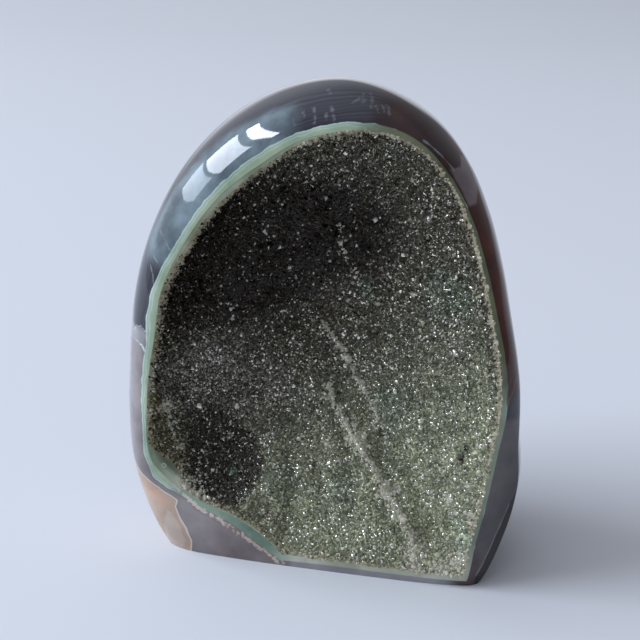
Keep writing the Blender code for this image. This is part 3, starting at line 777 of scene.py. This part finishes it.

# %% Smoky quartz
# Small quartz points, clear and smoky: painted glints on black, and a dull olive green that is painted lighter where
# the light falls. The smoke layer is partly painted shade, the pocket and the pit are painted shadow, and the grey
# patch is painted light.
QUARTZ_LAYERS = [
    ("olive", 0.0, 1.0, 0.0, 1.0, "#9ea689", "#bac29e"),
    ("teal", 0.1, 0.9, 0.0, 0.45, "#65806f", "#7b957d"),
    ("smoke_and_shade", 0.0, 0.75, 0.0, 0.98, "#120c08", "#1b140f"),
    ("grey_painted_light", 0.1, 1.0, 0.0, 0.85, "#858377", "#96938a"),
    ("shaded_pocket", 0.0, 1.0, 0.0, 0.94, "#3a3936", "#4a4946"),
    ("warm", 0.1, 1.0, 0.0, 0.6, "#2f2818", "#4a4228"),
    ("strip", 0.0, 1.0, 0.0, 0.9, "#6a684f", "#8f8a6b"),
    ("mint", 0.1, 0.9, 0.0, 0.8, "#9aad92", "#bbc8ae"),
    ("pit", 0.3, 0.9, 0.0, 0.97, "#120e0a", "#1a1510"),
]
crystal_material, tree, shader = new_material("smoky_quartz_druzy")
cloud = add_cloud(tree, 160.0, 4.0, 0.35, 0.65)
skin = paint_layers(tree, to_linear("#636051"), QUARTZ_LAYERS, 0.0, cloud)
tone = add_node(tree, "ShaderNodeAttribute", attribute_name="tone").outputs["Fac"]
skin = add_node(tree, "ShaderNodeVectorMath", {0: skin, "Scale": tone}, operation="SCALE").outputs[0]
# On top go the edge grains, pale quartz partly painted light, then the pale quartz, and then the painted glints, which
# are facets painted near white.
skin = paint_layers(tree, skin, [("edge", 0.0, 1.0, 0.0, 0.92, "#cfc4a2", "#f4ecd2"),
                                 ("pale", 0.0, 1.0, 0.0, 1.0, "#e6e2cb", "#fbf8e6"),
                                 ("glint", 0.0, 0.8, 0.0, 1.0, "#f0ecdc", "#fffbf0")], 0.0, cloud)
tree.links.new(skin, shader.inputs["Base Color"])
# A flash is the window thrown back by the inner side of a facet, so these facets act as mirrors.
flash = add_node(tree, "ShaderNodeAttribute", attribute_name="glint").outputs["Fac"]
mirror = add_node(tree, "ShaderNodeMapRange", {"Value": flash, "From Min": 0.5, "From Max": 0.8, "To Max": 0.8})
tree.links.new(mirror.outputs["Result"], shader.inputs["Metallic"])
# A facet with a bright tone also shines more.
gloss = add_node(tree, "ShaderNodeMath", {0: tone, 1: 0.26}, operation="MULTIPLY", use_clamp=True)
tree.links.new(gloss.outputs[0], shader.inputs["Specular IOR Level"])
shader.inputs["Specular Tint"].default_value = to_linear("#fff0d9")
shader.inputs["Roughness"].default_value = 0.24
shader.inputs["Transmission Weight"].default_value = 0.3
shader.inputs["IOR"].default_value = 1.544

# %% The ground under the crystals
EYE_COLUMN, EYE_DOWN = round(220.8 / 360 * GROUND_COLUMNS), 1.6
ground_material, tree, shader = new_material("quartz_ground")
cloud = add_cloud(tree, 160.0, 4.0, 0.35, 0.65)
# The ground carries the same painted light and shade as the crystals: darker at the smoky upper left, in the pocket and
# in the pit, and lighter olive toward the lower right.
skin = paint_layers(tree, to_linear("#1f201d"), [
    ("olive", 0.0, 1.0, 0.0, 1.0, "#70745d", "#868a70"), ("smoke_and_shade", 0.05, 0.95, 0.0, 0.97, "#0b0807", "#100d0c"),
    ("shaded_pocket", 0.0, 1.0, 0.0, 0.85, "#101110", "#161715"), ("warm", 0.1, 1.0, 0.0, 0.6, "#1c1811", "#2c281b"),
    ("strip", 0.0, 1.0, 0.0, 0.9, "#4f4b34", "#6b6647"), ("glass", 0.2, 0.8, 0.0, 1.0, "#a3bb9f", "#c9d8c1"),
    ("deep_glass", 0.0, 1.0, 0.0, 0.9, "#7c8d7b", "#9baa96"),
    ("edge", 0.1, 0.8, 0.0, 0.7, "#a59c7d", "#d0c7a9"),
    ("pit", 0.3, 0.9, 0.0, 0.97, "#0a0806", "#0f0c09"), ("pale", 0.2, 0.9, 0.0, 0.9, "#bebeae", "#d6d6c6")], 0.0, cloud)
# A small white eye sits in the green glass at the lower left.
eye_row = np.argmin(np.abs(wall_mm[:, EYE_COLUMN] - EYE_DOWN))
eye_distance = add_node(tree, "ShaderNodeVectorMath", {0: add_node(tree, "ShaderNodeTexCoord").outputs["Object"],
                                                       1: tuple(ground_net[eye_row, EYE_COLUMN] * MM)}, operation="DISTANCE")
from_ring = add_node(tree, "ShaderNodeMath", {0: eye_distance.outputs["Value"], 1: 0.45 * MM, 2: 0.2 * MM},
                     operation="COMPARE")
skin = add_node(tree, "ShaderNodeMix", {0: from_ring.outputs[0], 6: skin, 7: to_linear("#c9cdc0")}, data_type="RGBA").outputs[2]
tree.links.new(skin, shader.inputs["Base Color"])
smooth = add_node(tree, "ShaderNodeAttribute", attribute_name="glass").outputs["Fac"]
smooth = add_node(tree, "ShaderNodeMapRange", {"Value": smooth, "To Min": 0.5, "To Max": 0.15}).outputs["Result"]
tree.links.new(smooth, shader.inputs["Roughness"])
shader.inputs["IOR"].default_value = 1.544

# %% Put the pieces on the frame
stone.data.materials.append(stone_material)
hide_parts("agate_body")
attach(stone, "root")
ground.data.materials.append(ground_material)
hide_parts("druzy_crust")
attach(ground, "root")
for piece in crystal_pieces:
    piece.data.materials.append(crystal_material)
    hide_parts("druzy_crust")
    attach(piece, "root")

# %% [markdown]
# ## Floor, light and camera

# %% Floor
bpy.ops.object.select_all(action="DESELECT")
bpy.ops.mesh.primitive_plane_add(size=6.0, location=(0, 0, 0))
floor = bpy.context.object
floor.name = "floor"
floor_material, tree, shader = new_material("pale_paper")
# The paper is painted a little darker far behind the stone: painted shade where less light reaches.
away = add_node(tree, "ShaderNodeSeparateXYZ", {0: add_node(tree, "ShaderNodeTexCoord").outputs["Object"]})
far_shade = add_node(tree, "ShaderNodeMapRange", {"Value": away.outputs["Y"], "From Min": -0.15, "From Max": 0.9})
paper = add_node(tree, "ShaderNodeMix", {0: far_shade.outputs["Result"], 6: to_linear("#e9edf3"), 7: to_linear("#d9dce0")},
                 data_type="RGBA")
tree.links.new(paper.outputs[2], shader.inputs["Base Color"])
shader.inputs["Roughness"].default_value = 0.9
shader.inputs["Specular IOR Level"].default_value = 0.1
floor.data.materials.append(floor_material)

# %% Light
world = bpy.data.worlds.new("soft_room")
bpy.context.scene.world = world
world.use_nodes = True
tree = world.node_tree
background = tree.nodes["Background"]
# The room is bright toward its window wall at the left and behind the stone, and dark at the right.
toward = add_node(tree, "ShaderNodeSeparateXYZ", {0: add_node(tree, "ShaderNodeTexCoord").outputs["Generated"]})
left = add_node(tree, "ShaderNodeMapRange", {"Value": toward.outputs["X"], "From Min": 0.1, "From Max": -0.55,
                                             "To Min": 0.0, "To Max": 0.56})
behind = add_node(tree, "ShaderNodeMapRange", {"Value": toward.outputs["Y"], "From Min": -0.6, "From Max": 0.6,
                                               "To Min": 0.4, "To Max": 1.0})
overhead = add_node(tree, "ShaderNodeMapRange", {"Value": toward.outputs["Z"], "From Min": 0.72, "From Max": 0.93,
                                                 "To Min": 0.28, "To Max": 0.5})
glow = add_node(tree, "ShaderNodeMath", {0: left.outputs["Result"], 1: behind.outputs["Result"],
                                         2: overhead.outputs["Result"]}, operation="MULTIPLY_ADD")
# Low behind the stone stands pale paper, which gives the outline its thin bright rim.
paper_low = add_node(tree, "ShaderNodeMapRange", {"Value": toward.outputs["Z"], "From Min": 0.3, "From Max": 0.2,
                                                  "To Max": 0.8})
paper_back = add_node(tree, "ShaderNodeMapRange", {"Value": toward.outputs["Y"], "From Min": 0.75, "From Max": 0.92})
paper_side = add_node(tree, "ShaderNodeMapRange", {"Value": toward.outputs["X"], "From Min": 0.12, "From Max": 0.02})
paper_back = add_node(tree, "ShaderNodeMath", {0: paper_back.outputs["Result"], 1: paper_side.outputs["Result"]},
                      operation="MULTIPLY")
glow = add_node(tree, "ShaderNodeMath", {0: paper_low.outputs["Result"], 1: paper_back.outputs[0],
                                         2: glow.outputs[0]}, operation="MULTIPLY_ADD")
background.inputs["Color"].default_value = to_linear("#e8ebf5")
tree.links.new(glow.outputs[0], background.inputs["Strength"])


def window(name, at, toward, width, height, power, code):
    """A rectangular soft light that faces a point. Positions are in metres."""
    light = bpy.data.lights.new(name, "AREA")
    light.shape = "RECTANGLE"
    light.size, light.size_y = width, height
    light.energy = power
    light.color = to_linear(code)[:3]
    lamp = bpy.data.objects.new(name, light)
    bpy.context.scene.collection.objects.link(lamp)
    lamp.location = at
    lamp.rotation_euler = (Vector(toward) - Vector(at)).to_track_quat("-Z", "Y").to_euler()
    lamp.rotation_euler.rotate_axis("Z", PANE_ROLL)
    return lamp


PANES = [("pane_top", -0.5, 2.4, 2.7, 0.24, 1.3), ("pane_middle", -0.25, 1.75, 2.375, 0.62, 0.7),
         ("pane_low", -0.05, 1.12, 2.2, 0.42, 0.3)]
PANE_X, PANE_POWER, PANE_ROLL = -2.5, 55.0, math.radians(8.0)
for name, y, z, width, height, share in PANES:
    window(name, (PANE_X, y, z), (0.0, y, z), width, height, PANE_POWER * width * height * share, "#e1e9f8")

# %% Camera
CAMERA_TARGET = np.array([-1.5, -3.5, 50.7]) * MM
CAMERA_TURN, CAMERA_RISE, CAMERA_DISTANCE = 14.0, 20.0, 0.285
turn, rise = math.radians(CAMERA_TURN), math.radians(CAMERA_RISE)
toward_camera = np.array([math.sin(turn) * math.cos(rise), -math.cos(turn) * math.cos(rise), math.sin(rise)])
camera_data = bpy.data.cameras.new("camera")
camera_data.lens, camera_data.sensor_width = 70.0, 36.0
camera_data.clip_start = 0.01
camera = bpy.data.objects.new("camera", camera_data)
bpy.context.scene.collection.objects.link(camera)
camera.location = CAMERA_TARGET + toward_camera * CAMERA_DISTANCE
camera.rotation_euler = Vector(-toward_camera).to_track_quat("-Z", "Y").to_euler()
bpy.context.scene.camera = camera
bpy.context.scene.view_settings.view_transform = "Standard"
